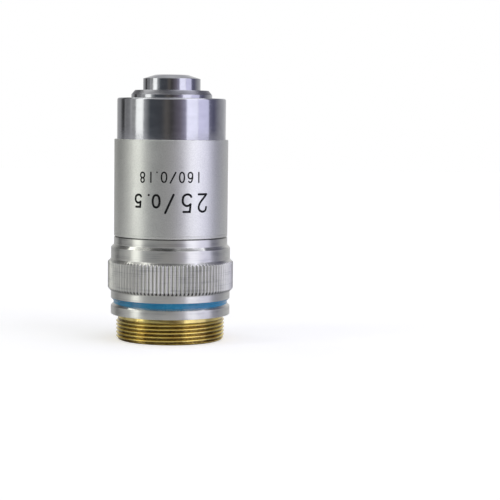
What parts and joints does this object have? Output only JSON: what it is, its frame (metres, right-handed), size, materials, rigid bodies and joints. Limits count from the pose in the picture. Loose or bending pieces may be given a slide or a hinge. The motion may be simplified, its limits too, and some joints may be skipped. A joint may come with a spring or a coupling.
{
  "type": "microscope objective",
  "caption": "Finite-conjugate microscope objective with a screw mount, a fluted grip collar, a blue magnification band and a spring-loaded sliding nose.",
  "frame": {"origin": "on the optical axis, at the plane of the shoulder that meets the nosepiece", "axes": "+Z along the optical axis from the mounting thread towards the nose; +X towards the hidden guide screw"},
  "size_m": [0.0234, 0.0234, 0.0492],
  "materials": {
    "brass": "turned, lacquered",
    "turned_aluminium": "turned, fine tool lines",
    "blue_enamel": "gloss enamel",
    "satin_aluminium": "fine satin",
    "screw_steel": "plain",
    "spring_steel": "drawn wire",
    "chrome_plate": "bright plated brass",
    "optical_glass": "polished",
    "black_brass": "matt black"
  },
  "bodies": {
    "mount": {"thread_mount": "brass", "grip_collar": "turned_aluminium", "colour_band": "blue_enamel", "cover_sleeve": "satin_aluminium", "guide_screw": "screw_steel", "return_spring": "spring_steel"},
    "nose": {"nose_cap": "chrome_plate", "front_cell": "chrome_plate", "front_lens": "optical_glass", "front_lens_ring": "black_brass", "spring_washer": "spring_steel", "lens_barrel": "brass", "front_spacer": "brass", "middle_cell": "brass", "middle_flint_lens": "optical_glass", "middle_crown_lens": "optical_glass", "spacer_tube": "brass", "rear_cell": "brass", "rear_flint_lens": "optical_glass", "rear_crown_lens": "optical_glass", "aperture_stop": "black_brass", "retaining_ring": "black_brass", "stop_ring": "brass", "lock_ring": "brass"}
  },
  "joints": [
    {"name": "nose_slide", "type": "slide", "parent": "mount", "child": "nose", "axis": [0, 0, -1], "range_m": [0, 0.0025], "stiffness_N_per_m": 800, "springref_m": -0.004, "deforming": ["return_spring"]}
  ]
}
